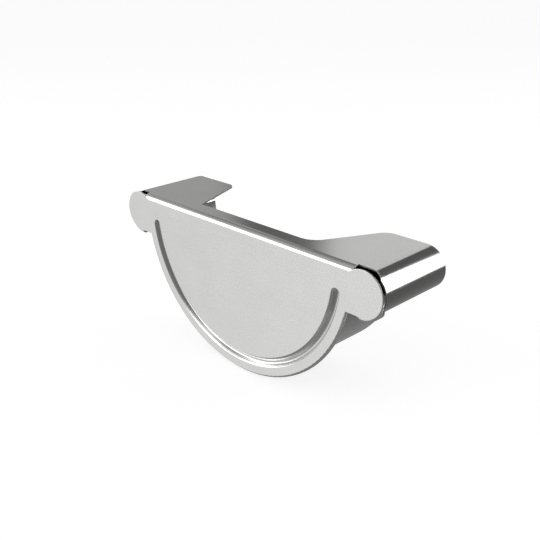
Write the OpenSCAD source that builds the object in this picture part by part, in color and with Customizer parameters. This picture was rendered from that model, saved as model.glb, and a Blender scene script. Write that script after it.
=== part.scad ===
// End cap for a half-round gutter: a folded face plate with a curl for the
// gutter's front bead, and a half-round sleeve held in the plate's seam.
// The origin is the centre of the half round, on the front face of the plate.
// +X runs towards the bead, +Y runs back along the gutter and +Z is up.

/* [Sheet] */
// Thickness of the sheet metal
sheet_t = 0.7; // [0.5:0.05:0.9]
// Depth of the cap along the gutter
cap_depth = 40.5; // [32:0.5:50]

/* [Face plate] */
// Radius of the half-round lower edge
plate_r = 67; // [66.5:0.1:69]
// Height of the folded top above the centre of the half round
top_z = 5.3; // [4.5:0.1:7]
// Outer radius of the fold between the face and the top
fold_r = 2.7; // [1.6:0.1:3.2]
// Radius of the round ears
ear_r = 10.3; // [9:0.1:11.5]
// Distance of each ear's centre beyond the half-round edge
ear_out = 5.3; // [3:0.1:8]

/* [Pressed groove] */
// Width of the groove between its walls
groove_w = 4.6; // [3:0.1:5.5]
// Depth to which the groove is pressed
groove_d = 1.9; // [1:0.1:2]
// Radius of the rounded lips of the groove
groove_lip_r = 1; // [0.95:0.05:1.4]
// Distance of the groove's middle inside the sleeve's outer wall
groove_inset = 3.2; // [3.1:0.1:8]

/* [Ear lips] */
// Depth to which the lip under each ear is turned back
lip_depth = 4.5; // [3.5:0.1:6]
// Depth of the lip where it runs out beside the ear
lip_runout_depth = 1.2; // [0.9:0.1:2]
// Distance by which the lip hangs below the ear
lip_drop = 1.5; // [1:0.1:2]

/* [Tabs] */
// Depth of the rear flange between the tabs
flange_depth = 9; // [6:0.5:12]
// Distance of the left tab's outer edge beyond the ear's centre
left_tab_out = 0.7; // [-2:0.1:3]
// Width of the left tab at its root
left_root_w = 39; // [32:0.5:45]
// Width of the left tab at its rear end
left_tip_w = 27; // [20:0.5:31]
// Corner radius at the left tab's outer rear corner
left_corner_r = 2; // [1:0.5:4]
// Corner radius at the left tab's rear tip
left_tip_r = 4.7; // [1:0.1:6]
// Width of the right tab's flat at its root
right_root_w = 36.3; // [32:0.1:42]
// Width of the right tab's flat at its rear end
right_tip_w = 20.4; // [14:0.1:26]
// Fillet between the flange and the right tab
right_root_r = 10; // [4:0.5:14]
// Corner radius at the right tab's rear corner
right_tip_r = 6.7; // [3:0.1:9]

/* [Bead curl] */
// Outer radius of the curl that grips the gutter's bead
curl_r = 9.6; // [8.5:0.1:10.2]
// Distance of the curl's centre beyond the ear's centre
curl_out = 1.4; // [0:0.1:3]
// Angle through which the curl wraps from its top
curl_wrap = 220; // [180:5:235]

/* [Relief notches] */
// Distance from the face to the tabs' near edges
notch_depth = 3.7; // [3.2:0.1:5]
// Distance of the fold's ends inside the ears' centres
fold_inset = 4.8; // [3.3:0.1:8]
// Radius of the rounded end of the right notch
notch_end_r = 5.6; // [4:0.1:6]

/* [Sleeve] */
// Distance of the sleeve's outer wall inside the half-round edge
sleeve_inset = 4.4; // [4.2:0.1:6]
// Drop of the sleeve's ends below the centre of the half round
sleeve_drop = 6.3; // [5:0.1:9]
// Width of the lip that is turned out along the sleeve's left end
turned_lip_w = 5; // [3:0.1:6]
// Inner radius of the sleeve's bends
sleeve_bend_r = 0.5; // [0.3:0.05:0.6]
// Gap between the sheets in the folded seam
seam_gap = 0.2; // [0.1:0.05:0.3]

/* [Hidden] */
$fn = 96;

// Overrun of cutting tools past the faces that they cut
overrun = 1;

// Sleeve
sleeve_r = plate_r - sleeve_inset;
sleeve_in_r = sleeve_r - sheet_t;
sleeve_end = asin(sleeve_drop / sleeve_r);

// Folded seam round the half-round edge
seam_depth = 3 * sheet_t + 2 * seam_gap;
seam_r = seam_depth / 2;
seam_mid_r = plate_r - seam_r;
face_r = seam_mid_r - seam_r / 2;
seam_end_r = sleeve_r + sleeve_bend_r + seam_gap;
flange_y = sheet_t + seam_gap;
flange_out_r = seam_mid_r + (seam_r - sheet_t - seam_gap) / 2;

// Ears
ear_x = plate_r + ear_out;
ear_z = top_z - ear_r;
web_low_z = ear_z - ear_r + sheet_t / 2;
ear_angle = asin(-web_low_z / plate_r);
lip_r = ear_r;
lip_z = ear_z - lip_drop;
lip_bend_r = lip_drop + sheet_t / 10;
lip_start = -96;
lip_runout_angle = -8;
lip_full_angle = -42;

// Pressed groove: a round-bottomed channel with rounded lips that rise a hair past the face
groove_r = sleeve_r - groove_inset;
channel_r = (groove_w * groove_w / 4 + groove_d * groove_d) / (2 * groove_d);
channel_y = groove_d - channel_r;
lip_rise = sheet_t / 50;
lip_y = groove_lip_r - lip_rise;
lip_off = sqrt(pow(channel_r + groove_lip_r, 2) - pow(lip_y - channel_y, 2));
groove_end_angle = 8.4;
arc_steps = 8;

// Fold and tabs
fold_x = ear_x - fold_inset;
left_tab_x = ear_x + left_tab_out;

// Curl
curl_x = ear_x + curl_out;
curl_z = top_z - curl_r;
curl_start = lip_runout_depth + 2 * seam_gap;
notch_end_x = curl_x + curl_r / 5;

function unit(v) = v / norm(v);

// Points along an arc from one angle to another, both included
function arc(centre, r, from, to) = [
    for (i = [0:arc_steps])
        centre + r * [cos(from + (to - from) * i / arc_steps), sin(from + (to - from) * i / arc_steps)]
];

// Draws in the plane of the face, seen from the front, and extrudes towards the back
module upright() {
    rotate([90, 0, 0])
        mirror([0, 0, 1])
            children();
}

// Revolves a section of distance and depth about the Y axis
module sweep(from, arc) {
    upright()
        rotate([0, 0, from])
            rotate_extrude(angle = arc, $fn = 180)
                children();
}

// Quarter of a bent sheet between two radii, in the quadrant that starts at an angle
module bend_section(out_r, in_r, from) {
    rotate(from)
        intersection() {
            difference() {
                circle(r = out_r);
                circle(r = in_r);
            }
            square(out_r + overrun);
        }
}

// The sliver between a corner and the circle that rounds it
module corner_sliver(corner, a, b, r) {
    along_a = unit(a - corner);
    along_b = unit(b - corner);
    half_angle = acos(along_a * along_b) / 2;
    run = r / tan(half_angle);
    centre = corner + unit(along_a + along_b) * r / sin(half_angle);
    difference() {
        polygon([corner, corner + along_a * run, centre, corner + along_b * run]);
        translate(centre)
            circle(r = r);
    }
}

// Section of the groove: lip, channel and lip, from one base line, with its wall moved back by a sheet or not
module groove_section(back, base_y) {
    lip_angle = atan2(lip_y - channel_y, lip_off);
    polygon(concat(
        [[-lip_off, base_y]],
        arc([-lip_off, lip_y], groove_lip_r - back, -90, -lip_angle),
        arc([0, channel_y], channel_r + back, 180 - lip_angle, lip_angle),
        arc([lip_off, lip_y], groove_lip_r - back, lip_angle - 180, -90),
        [[lip_off, base_y]]
    ));
}

// Turns a section round at the groove's left end
module groove_end() {
    upright()
        rotate([0, 0, 180 + groove_end_angle])
            translate([groove_r, 0, 0])
                rotate([0, 0, 180])
                    rotate_extrude(angle = 180)
                        intersection() {
                            children();
                            translate([0, -2 * groove_w])
                                square(4 * groove_w);
                        }
}

// Sweeps a section along the groove's arc, with an end at both sides
module along_groove() {
    sweep(180 + groove_end_angle, 180 - 2 * groove_end_angle)
        translate([groove_r, 0])
            children();
    groove_end()
        children();
    mirror([1, 0, 0])
        groove_end()
            children();
}

// Outline of the flat face, up to its folds
module face_outline() {
    face_top = top_z - fold_r;
    intersection() {
        circle(r = face_r, $fn = 180);
        translate([-plate_r, -plate_r])
            square([2 * plate_r, plate_r + web_low_z]);
    }
    for (side = [-1, 1])
        translate([side * ear_x, ear_z])
            circle(r = ear_r);
    translate([-ear_x, web_low_z])
        square([2 * ear_x, ear_z - web_low_z]);
    translate([-fold_x, ear_z])
        square([2 * fold_x, face_top - ear_z]);
}

// Section of the seam: the sheet folded back over the sleeve's flange
module seam_section() {
    translate([seam_mid_r - seam_r, 0])
        square([seam_r, sheet_t]);
    translate([seam_mid_r, seam_r]) {
        bend_section(seam_r, seam_r - sheet_t, -90);
        bend_section(seam_r, seam_r - sheet_t, 0);
    }
    translate([seam_end_r, seam_depth - sheet_t])
        square([seam_mid_r - seam_end_r, sheet_t]);
}

// Section of the lip that is turned back under an ear
module ear_lip_section() {
    translate([lip_r - lip_bend_r, lip_bend_r])
        bend_section(lip_bend_r, lip_bend_r - sheet_t, -90);
    translate([lip_r - sheet_t, lip_bend_r])
        square([sheet_t, lip_depth - lip_bend_r]);
}

// Reach of the ear lip in depth and height, grown by a gap: deepest below, running out beside the ear
module lip_reach(gap) {
    runout_z = lip_r * sin(lip_runout_angle) + gap;
    full_z = lip_r * sin(lip_full_angle) + gap;
    rotate([90, 0, 90])
        linear_extrude(4 * lip_r, center = true)
            polygon([
                [-overrun, runout_z],
                [lip_runout_depth + gap, runout_z],
                [lip_depth + gap, full_z],
                [lip_depth + gap, -2 * lip_r],
                [-overrun, -2 * lip_r]
            ]);
}

module ear_lip() {
    translate([ear_x, 0, lip_z])
        intersection() {
            sweep(lip_start, -lip_start)
                ear_lip_section();
            lip_reach(0);
        }
}

// Outline of the folded top: rear flange, left tab and right tab
module top_outline() {
    left_root = [left_root_w - left_tab_x, flange_depth];
    left_tip = [left_tip_w - left_tab_x, cap_depth];
    left_rear = [-left_tab_x, cap_depth];
    left_near = [-left_tab_x, notch_depth];
    right_root = [curl_x - right_root_w, flange_depth];
    right_tip = [curl_x - right_tip_w, cap_depth];
    right_rear = [curl_x, cap_depth];
    right_near = [curl_x, notch_depth];
    difference() {
        union() {
            polygon([
                [-fold_x, fold_r],
                [-fold_x, notch_depth],
                left_near,
                left_rear,
                left_tip,
                left_root,
                right_root,
                right_tip,
                right_rear,
                right_near,
                [fold_x, notch_depth],
                [fold_x, fold_r]
            ]);
            corner_sliver(right_root, left_root, right_tip, right_root_r);
        }
        corner_sliver(left_rear, left_near, left_tip, left_corner_r);
        corner_sliver(left_tip, left_rear, left_root, left_tip_r);
        corner_sliver(right_tip, right_root, right_rear, right_tip_r);
    }
}

// Quarter bend between the face and the top
module top_fold() {
    translate([-fold_x, 0, 0])
        rotate([90, 0, 90])
            linear_extrude(2 * fold_x)
                translate([fold_r, top_z - fold_r])
                    bend_section(fold_r, fold_r - sheet_t, 90);
}

// Round cut that lets the curl's near end run forward to the ear
module notch_cut() {
    translate([0, 0, curl_z])
        linear_extrude(2 * curl_r) {
            translate([fold_x, -overrun])
                square([notch_end_x - fold_x, notch_depth + overrun]);
            translate([notch_end_x, notch_depth - notch_end_r])
                circle(r = notch_end_r);
        }
}

// The sheet rolled from the top, over the outer side and in under the bead
module curl_section() {
    mouth = 2 * curl_r;
    difference() {
        circle(r = curl_r);
        circle(r = curl_r - sheet_t);
        polygon([
            [0, 0],
            [0, mouth],
            [-mouth, mouth],
            [-mouth, mouth * sin(90 - curl_wrap)],
            mouth * [cos(90 - curl_wrap), sin(90 - curl_wrap)]
        ]);
    }
}

module bead_curl() {
    difference() {
        translate([curl_x, curl_start, curl_z])
            upright()
                linear_extrude(cap_depth - curl_start)
                    curl_section();
        notch_cut();
        translate([ear_x, 0, lip_z])
            lip_reach(seam_gap);
    }
}

// The flat face with its pressed groove
module grooved_face() {
    difference() {
        union() {
            upright()
                linear_extrude(sheet_t)
                    face_outline();
            along_groove()
                groove_section(sheet_t, sheet_t / 2);
        }
        along_groove()
            groove_section(0, -overrun);
    }
}

module face_plate() {
    color("silver") {
        grooved_face();
        sweep(180 + ear_angle, 180 - 2 * ear_angle)
            seam_section();
        ear_lip();
        mirror([1, 0, 0])
            ear_lip();
        top_fold();
        translate([0, 0, top_z - sheet_t])
            linear_extrude(sheet_t)
                top_outline();
        bead_curl();
    }
}

// Section of the sleeve: seam flange, bend and wall
module sleeve_section() {
    bend_r = sleeve_bend_r + sheet_t;
    translate([sleeve_in_r + bend_r, flange_y])
        square([flange_out_r - sleeve_in_r - bend_r, sheet_t]);
    translate([sleeve_in_r + bend_r, flange_y + bend_r])
        bend_section(bend_r, sleeve_bend_r, 180);
    translate([sleeve_in_r, flange_y + bend_r])
        square([sheet_t, cap_depth - flange_y - bend_r]);
}

// Lip turned out along the sleeve's left end
module turned_lip() {
    bend_r = sleeve_bend_r + sheet_t;
    translate([0, flange_y + bend_r, 0])
        upright()
            linear_extrude(cap_depth - flange_y - bend_r)
                rotate(180 + sleeve_end) {
                    translate([sleeve_in_r + bend_r, 0])
                        bend_section(bend_r, sleeve_bend_r, 180);
                    translate([sleeve_in_r + bend_r, -bend_r])
                        square([turned_lip_w - bend_r, sheet_t]);
                }
}

module sleeve() {
    color("gray") {
        sweep(180 + sleeve_end, 180 - 2 * sleeve_end)
            sleeve_section();
        turned_lip();
    }
}

face_plate();
sleeve();
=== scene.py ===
"""Looks of a gutter end cap: satin sheet metal on a pale floor in soft studio light."""

import math

import bpy
from mathutils import Matrix, Vector


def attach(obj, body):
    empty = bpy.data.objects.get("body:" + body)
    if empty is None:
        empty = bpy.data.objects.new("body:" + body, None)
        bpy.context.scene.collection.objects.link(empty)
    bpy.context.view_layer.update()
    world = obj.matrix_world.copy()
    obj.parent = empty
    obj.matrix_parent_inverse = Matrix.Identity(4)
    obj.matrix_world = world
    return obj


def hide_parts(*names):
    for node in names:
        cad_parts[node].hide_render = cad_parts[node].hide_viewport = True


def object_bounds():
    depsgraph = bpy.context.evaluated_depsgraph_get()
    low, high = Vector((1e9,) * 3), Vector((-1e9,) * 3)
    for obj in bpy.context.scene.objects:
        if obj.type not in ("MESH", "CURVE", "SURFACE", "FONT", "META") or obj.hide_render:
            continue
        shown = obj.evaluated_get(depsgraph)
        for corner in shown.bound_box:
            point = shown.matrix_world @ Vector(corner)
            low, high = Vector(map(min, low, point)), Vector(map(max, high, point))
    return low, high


MM = 0.001

# Sizes of the solids
SHEET = 0.7 * MM
TOP_Z = 5.3 * MM
CAP_DEPTH = 40.5 * MM
PLATE_R = 67 * MM
CURL_X = 73.7 * MM
CURL_Z = -4.3 * MM
CURL_R = 9.6 * MM
GROOVE_CENTRE_R = 59.4 * MM
GROOVE_END = math.radians(8.4)

# Across the solid's groove: the arc of its channel, the arc of a lip beside it, and how far from
# the middle the one passes into the other
CHANNEL_R = 2.342 * MM
CHANNEL_Y = -0.442 * MM
LIP_R = 1 * MM
LIP_Y = 0.986 * MM
LIP_ASIDE = 3.02 * MM
CHANNEL_END = 2.116 * MM

# The groove as the photo's shading shows it: its depth, how much further out its deepest line
# lies, and how far its outer and inner sides reach from that line
SHOWN_DEPTH = 2 * MM
SHOWN_OUTWARDS = 0.75 * MM
SHOWN_OUTER_SIDE = 1.9 * MM
SHOWN_INNER_SIDE = 3.2 * MM

# Studio
SCREEN_DISTANCE = 1.4
LAMP_DISTANCE = 1.0
FLOOR_HALF = 6
FLOOR_GAP = 0.3 * MM

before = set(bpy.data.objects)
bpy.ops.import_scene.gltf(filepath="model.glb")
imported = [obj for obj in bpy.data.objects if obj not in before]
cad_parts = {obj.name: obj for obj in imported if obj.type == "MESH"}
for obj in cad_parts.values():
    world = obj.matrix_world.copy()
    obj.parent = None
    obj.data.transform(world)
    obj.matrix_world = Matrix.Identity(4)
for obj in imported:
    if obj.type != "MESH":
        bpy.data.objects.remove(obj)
cad_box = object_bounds()


# Shader maths


class Wire:
    """A node's output. Sums and products of wires add the Math nodes for them."""

    def __init__(self, tree, socket):
        self.tree = tree
        self.socket = socket

    def __add__(self, other):
        return self.tree.math("ADD", self, other)

    def __radd__(self, other):
        return self.tree.math("ADD", other, self)

    def __sub__(self, other):
        return self.tree.math("SUBTRACT", self, other)

    def __rsub__(self, other):
        return self.tree.math("SUBTRACT", other, self)

    def __mul__(self, other):
        return self.tree.math("MULTIPLY", self, other)

    def __rmul__(self, other):
        return self.tree.math("MULTIPLY", other, self)


class NodeTree:
    """The nodes of a material or of the world."""

    def __init__(self, owner):
        owner.use_nodes = True
        self.tree = owner.node_tree
        self.tree.nodes.clear()

    def node(self, kind, settings=None, sockets=None, output=0):
        made = self.tree.nodes.new(kind)
        for name, value in (settings or {}).items():
            setattr(made, name, value)
        for name, value in (sockets or {}).items():
            if isinstance(value, Wire):
                self.tree.links.new(value.socket, made.inputs[name])
            else:
                made.inputs[name].default_value = value
        return Wire(self, made.outputs[output]) if made.outputs else None

    def math(self, operation, first, second):
        return self.node("ShaderNodeMath", {"operation": operation}, {0: first, 1: second})

    def blend(self, share, first, second):
        """A colour between two others."""
        return self.node(
            "ShaderNodeMix", {"data_type": "RGBA"}, {0: share, 6: first, 7: second}, output=2
        )


def grey(level):
    return (level, level, level, 1)


# Finishes


def steel_sheet_finish():
    """Bright rolled sheet: satin sheen, fine grain, faint rolling streaks and handling marks."""
    finish = bpy.data.materials.new("steel_sheet")
    t = NodeTree(finish)
    place = t.node("ShaderNodeTexCoord", output="Object")
    grain = t.node("ShaderNodeTexNoise", {}, {"Vector": place, "Scale": 1500, "Detail": 3})
    cloud = t.node("ShaderNodeTexNoise", {}, {"Vector": place, "Scale": 55, "Detail": 3})
    stretched = t.node("ShaderNodeMapping", {}, {"Vector": place, "Scale": (60, 1500, 1500)})
    streaks = t.node("ShaderNodeTexNoise", {}, {"Vector": stretched, "Scale": 1, "Detail": 3})
    dull_zinc = (0.5, 0.505, 0.495, 1)
    bright_zinc = (0.7, 0.7, 0.69, 1)
    cut_steel = (0.3, 0.3, 0.295, 1)
    tone = 1.1 * grain + 0.3 * cloud + 0.2 * streaks - 0.3
    sheared = t.node("ShaderNodeAttribute", {"attribute_name": "sheared"}, output="Fac")
    metal = t.blend(sheared, t.blend(tone, dull_zinc, bright_zinc), cut_steel)
    roughness = 0.11 + 0.05 * cloud + 0.04 * streaks + 0.35 * sheared
    relief = 0.7 * grain + 0.3 * streaks
    worn_edges = t.node("ShaderNodeBevel", {"samples": 6}, {"Radius": 0.3 * MM})
    bump = t.node(
        "ShaderNodeBump",
        {},
        {"Height": relief, "Strength": 0.12, "Distance": 0.02 * MM, "Normal": worn_edges},
    )
    surface = t.node(
        "ShaderNodeBsdfPrincipled",
        {},
        {"Base Color": metal, "Metallic": 1, "Roughness": roughness, "Normal": bump},
    )
    t.node("ShaderNodeOutputMaterial", {}, {"Surface": surface})
    return finish


def seen_directly(t):
    """1 for rays from the camera, and for those that metal and glass pass on."""
    camera = t.node("ShaderNodeLightPath", output="Is Camera Ray")
    glossy = t.node("ShaderNodeLightPath", output="Is Glossy Ray")
    through = t.node("ShaderNodeLightPath", output="Is Transmission Ray")
    return t.math("MAXIMUM", camera + glossy, through)


def floor_material():
    """White to the camera, and a little darker where the object keeps the lamps' light away."""
    material = bpy.data.materials.new("pale_floor")
    t = NodeTree(material)
    glow = t.node("ShaderNodeEmission", {}, {"Color": grey(1), "Strength": 0.8 * seen_directly(t)})
    matt = t.node("ShaderNodeBsdfDiffuse", {}, {"Color": grey(0.35)})
    both = t.node("ShaderNodeAddShader", {}, {0: glow, 1: matt})
    t.node("ShaderNodeOutputMaterial", {}, {"Surface": both})
    return material


# Pieces of the object


def modelled_groove(aside):
    """Depth and slope of the solid's groove, a round channel between round lips."""
    if aside < CHANNEL_END:
        drop = math.sqrt(CHANNEL_R**2 - aside**2)
        return CHANNEL_Y + drop, -aside / drop
    drop = math.sqrt(LIP_R**2 - (LIP_ASIDE - aside) ** 2)
    return LIP_Y - drop, -(LIP_ASIDE - aside) / drop


def shown_groove(aside, half_width):
    """Depth and slope of the rut with softer lips that the photo shows."""
    turn = math.pi * aside / half_width
    if turn >= math.pi:
        return 0, 0
    depth = SHOWN_DEPTH * (1 + math.cos(turn)) / 2
    return depth, -SHOWN_DEPTH * math.pi / (2 * half_width) * math.sin(turn)


def groove_shift(point):
    """Where a point of the groove goes, the way out of it, and its change of slope and width."""
    past_lips = 3.03 * MM
    angle = min(max(math.atan2(point.z, abs(point.x)), -math.pi / 2), -GROOVE_END)
    outward = Vector((math.copysign(math.cos(angle), point.x), 0, math.sin(angle)))
    out = Vector((point.x, 0, point.z)) - outward * GROOVE_CENTRE_R
    aside = out.length
    if aside >= past_lips or aside == 0:
        return None
    outer_share = (1 + out.normalized().dot(outward)) / 2
    half_width = SHOWN_INNER_SIDE + (SHOWN_OUTER_SIDE - SHOWN_INNER_SIDE) * outer_share
    stretch = half_width / past_lips
    depth, slope = modelled_groove(aside)
    shown_depth, shown_slope = shown_groove(aside * stretch, half_width)
    place = outward * (GROOVE_CENTRE_R + SHOWN_OUTWARDS) + out * stretch
    place.y = point.y + shown_depth - depth
    return place, out.normalized(), shown_slope * stretch - slope, stretch


def press_groove(points, corners, normals):
    """Presses the groove as the photo shows it, and turns the normals with it."""
    behind_groove = 3 * MM
    shifts = [groove_shift(Vector(p)) if p[1] < behind_groove else None for p in points]
    for i, shift in enumerate(shifts):
        if shift:
            points[i] = shift[0][:]
    for i, corner in enumerate(corners):
        if shifts[corner]:
            out, steeper, stretch = shifts[corner][1:]
            normal = Vector(normals[i])
            across = normal.dot(out)
            turned = normal + out * ((across - steeper * normal.y) / stretch - across)
            normals[i] = turned.normalized()[:]


def is_sheared(centre, normal):
    """Whether a face is part of a cut edge of the sheet."""
    hair = 0.02 * MM
    level = 0.2
    beside_seam = PLATE_R - 1 * MM
    behind_fold = 3 * MM
    in_top_sheet = TOP_Z - SHEET + hair < centre.z < TOP_Z - hair
    in_front_sheet = centre.y < SHEET - hair / 2
    ear_rim = in_front_sheet and abs(normal.y) < level and abs(centre.x) > beside_seam
    tab_edge = in_top_sheet and abs(normal.z) < level and centre.y > behind_fold
    rear_edge = centre.y > CAP_DEPTH - 0.5 * MM and normal.y > 0.9
    curl_rim = centre.y > 2 * SHEET and normal.y < -0.3 and centre.x > beside_seam
    return ear_rim or tab_edge or rear_edge or curl_rim


def sheet_piece(node, finish):
    """The folded sheet of a node, in one skin that keeps the true curve of every bend."""
    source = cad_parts[node].data
    weld = 0.001 * MM
    places = {}
    points = []
    corner_of = []
    for vertex in source.vertices:
        key = tuple(round(c / weld) for c in vertex.co)
        if key not in places:
            places[key] = len(points)
            points.append(vertex.co[:])
        corner_of.append(places[key])
    faces = []
    normals = []
    for face in source.polygons:
        corners = [corner_of[v] for v in face.vertices]
        if len(set(corners)) == len(corners):
            faces.append(corners)
            normals += [source.corner_normals[i].vector[:] for i in face.loop_indices]
    if node == "face_plate":
        press_groove(points, [corner for face in faces for corner in face], normals)
    mesh = bpy.data.meshes.new(node + "_sheet")
    mesh.from_pydata(points, [], faces)
    mesh.polygons.foreach_set("use_smooth", [True] * len(mesh.polygons))
    mesh.normals_split_custom_set(normals)
    mesh.materials.append(finish)
    sheared = [float(is_sheared(face.center, face.normal)) for face in mesh.polygons]
    mesh.attributes.new("sheared", "FLOAT", "FACE").data.foreach_set("value", sheared)
    piece = bpy.data.objects.new(node + "_sheet", mesh)
    bpy.context.scene.collection.objects.link(piece)
    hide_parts(node)
    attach(piece, "root")
    return piece


# Studio


def towards(azimuth, elevation):
    """Unit vector to a place in the studio: azimuth from the gutter's line towards the bead."""
    a = math.radians(azimuth)
    e = math.radians(elevation)
    return Vector((math.sin(a) * math.cos(e), math.cos(a) * math.cos(e), math.sin(e)))


def softbox(name, azimuth, elevation, width, height, radiance):
    """A soft lamp that spans two angles as the object sees it."""
    lamp = bpy.data.lights.new(name, "AREA")
    lamp.shape = "RECTANGLE"
    lamp.size = 2 * LAMP_DISTANCE * math.tan(math.radians(width / 2))
    lamp.size_y = 2 * LAMP_DISTANCE * math.tan(math.radians(height / 2))
    lamp.energy = radiance * math.pi * lamp.size * lamp.size_y
    box = bpy.data.objects.new(name, lamp)
    bpy.context.scene.collection.objects.link(box)
    away = towards(azimuth, elevation)
    box.location = away * LAMP_DISTANCE
    box.rotation_mode = "QUATERNION"
    box.rotation_quaternion = away.to_track_quat("Z", "Y")
    box.visible_camera = False
    return box


def screen_material(name):
    """Glows as brightly as the mesh says at each place."""
    material = bpy.data.materials.new(name)
    t = NodeTree(material)
    level = t.node("ShaderNodeAttribute", {"attribute_name": "level"}, output="Fac")
    glow = t.node("ShaderNodeEmission", {}, {"Color": level, "Strength": 1})
    t.node("ShaderNodeOutputMaterial", {}, {"Surface": glow})
    return material


def flag(name, azimuths, elevations, levels):
    """A screen on the studio's wall, shaded from one side to the other, that only metal shows."""
    steps = 12
    mesh = bpy.data.meshes.new(name)
    verts = []
    shades = []
    for i in range(steps + 1):
        along = i / steps
        for j in range(steps + 1):
            azimuth = azimuths[0] + (azimuths[1] - azimuths[0]) * along
            elevation = elevations[0] + (elevations[1] - elevations[0]) * j / steps
            verts.append(towards(azimuth, elevation) * SCREEN_DISTANCE)
            shades.append(levels[0] + (levels[1] - levels[0]) * along)
    faces = []
    for i in range(steps):
        for j in range(steps):
            corner = i * (steps + 1) + j
            faces.append((corner, corner + 1, corner + steps + 2, corner + steps + 1))
    mesh.from_pydata(verts, [], faces)
    mesh.attributes.new("level", "FLOAT", "POINT").data.foreach_set("value", shades)
    mesh.materials.append(screen_material(name))
    screen = bpy.data.objects.new(name, mesh)
    bpy.context.scene.collection.objects.link(screen)
    screen.visible_camera = False
    screen.visible_diffuse = False
    screen.visible_shadow = False
    screen.visible_transmission = False
    return screen


def dark_from_the_front():
    """Black on its front and clear from behind: painted shade."""
    material = bpy.data.materials.new("painted_shade_card")
    t = NodeTree(material)
    behind = t.node("ShaderNodeNewGeometry", output="Backfacing")
    black = t.node("ShaderNodeEmission", {}, {"Color": grey(0), "Strength": 1})
    clear = t.node("ShaderNodeBsdfTransparent")
    either = t.node("ShaderNodeMixShader", {}, {0: behind, 1: black, 2: clear})
    t.node("ShaderNodeOutputMaterial", {}, {"Surface": either})
    return material


def painted_shade_card(name, depth, outline, finish):
    """A black sheet of painted shade across the gutter's line behind a relief notch, so that the
    notch shows dark.
    """
    mesh = bpy.data.meshes.new(name)
    mesh.from_pydata([(x, depth, z) for x, z in outline], [], [range(len(outline))])
    mesh.materials.append(finish)
    card = bpy.data.objects.new(name, mesh)
    bpy.context.scene.collection.objects.link(card)
    card.visible_diffuse = False
    card.visible_glossy = False
    card.visible_shadow = False
    card.visible_transmission = False
    return card


def notch_cards():
    """Black sheets of painted shade: left of the middle behind the flat tab's notch, and right of
    it inside the curl.
    """
    finish = dark_from_the_front()
    left = [(-77.7, 3.3), (-66, 2), (-66, 4.5), (-72.9, 4.5), (-73.7, 5)]
    painted_shade_card("left_notch_painted_shade", 4.2 * MM, [(x * MM, z * MM) for x, z in left], finish)
    inside_r = CURL_R - SHEET - 0.2 * MM
    quarter = [math.radians(a) for a in range(0, 91, 10)]
    right = [(CURL_X + inside_r * math.cos(a), CURL_Z + inside_r * math.sin(a)) for a in quarter]
    inner_x, low_z = 62 * MM, -3 * MM
    right = [(inner_x, low_z), *right, (inner_x, CURL_Z + inside_r)]
    painted_shade_card("right_notch_painted_shade", 4.4 * MM, right, finish)


def floor(height):
    mesh = bpy.data.meshes.new("floor")
    sides = ((-1, -1), (1, -1), (1, 1), (-1, 1))
    corners = [(x * FLOOR_HALF, y * FLOOR_HALF, height) for x, y in sides]
    mesh.from_pydata(corners, [], [(0, 1, 2, 3)])
    mesh.materials.append(floor_material())
    ground = bpy.data.objects.new("floor", mesh)
    bpy.context.scene.collection.objects.link(ground)
    ground.visible_glossy = False
    return ground


def surroundings():
    world = bpy.data.worlds.new("white_studio")
    bpy.context.scene.world = world
    t = NodeTree(world)
    bounce_level = 0.45
    strength = bounce_level + (1 - bounce_level) * seen_directly(t)
    background = t.node("ShaderNodeBackground", {}, {"Color": grey(1), "Strength": strength})
    t.node("ShaderNodeOutputWorld", {}, {"Surface": background})


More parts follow.
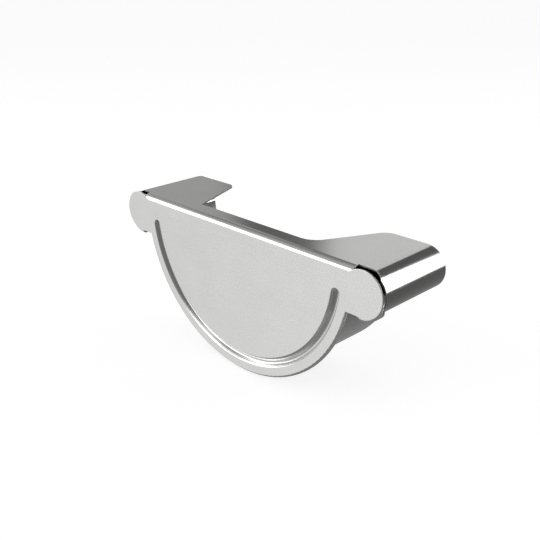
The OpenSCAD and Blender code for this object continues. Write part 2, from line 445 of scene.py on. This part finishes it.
def camera():
    """Seen from the bead's side of the front, a little above."""
    azimuth = math.radians(45.89)
    elevation = math.radians(22.95)
    roll = math.radians(-0.5)
    place = Vector((0.2390, -0.2105, 0.1184))
    image_px = 540
    focal_px = 762.3
    right = Vector((math.cos(azimuth), math.sin(azimuth), 0))
    back = Vector(
        (
            math.sin(azimuth) * math.cos(elevation),
            -math.cos(azimuth) * math.cos(elevation),
            math.sin(elevation),
        )
    )
    up = back.cross(right)
    level_right = right
    right = math.cos(roll) * level_right + math.sin(roll) * up
    up = math.cos(roll) * up - math.sin(roll) * level_right
    data = bpy.data.cameras.new("camera")
    data.sensor_width = 36
    data.lens = data.sensor_width * focal_px / image_px
    data.clip_start = 0.01
    data.clip_end = 50
    made = bpy.data.objects.new("camera", data)
    bpy.context.scene.collection.objects.link(made)
    made.matrix_world = Matrix.Translation(place) @ Matrix((right, up, back)).transposed().to_4x4()
    bpy.context.scene.camera = made


steel = steel_sheet_finish()
for node in ("face_plate", "sleeve"):
    sheet_piece(node, steel)

surroundings()
floor(cad_box[0].z - FLOOR_GAP)

# Lamps: azimuth, elevation, width and height in degrees, then radiance
softbox("back_right_box", 38, 20, 24, 42, 2.4)
softbox("front_left_box", -132, 8, 40, 32, 2.4)
softbox("front_box", 199, 21, 24, 30, 2.2)

# Screens: spans of azimuth and elevation in degrees, then the brightness at either azimuth
flag("back_top_screen", (-18, 26), (22, 60), (0.11, 0.14))
flag("left_top_screen", (-150, -95), (31, 60), (0.62, 0.45))
flag("left_high_screen", (-95, -50), (40, 60), (0.3, 0.28))
flag("left_screen", (-95, -50), (-10, 40), (0.46, 0.45))
flag("left_edge_screen", (-50, -47.5), (-3, 60), (0.45, 0.2))
flag("back_left_screen", (-47.5, -41.2), (-3, 60), (0.15, 0.15))
flag("back_left_edge_screen", (-41.2, -38.6), (-3, 60), (0.15, 0.78))
flag("back_mid_screen", (-38.6, -18), (-3, 60), (0.78, 0.78))
flag("back_low_screen", (-60, 70), (-50, -3), (0.36, 0.06))
flag("under_screen", (-180, 180), (-90, -50), (0.3, 0.3))
flag("front_right_screen", (90, 165), (-50, 60), (0.2, 0.24))
flag("front_right_edge_screen", (165, 205), (-50, 28), (0.24, 0.85))
flag("front_high_screen", (165, 190), (28, 60), (0.24, 0.5))
flag("face_screen", (-155, -105), (-50, -6), (1.17, 0.93))

notch_cards()
camera()

bpy.context.scene.view_settings.view_transform = "Standard"
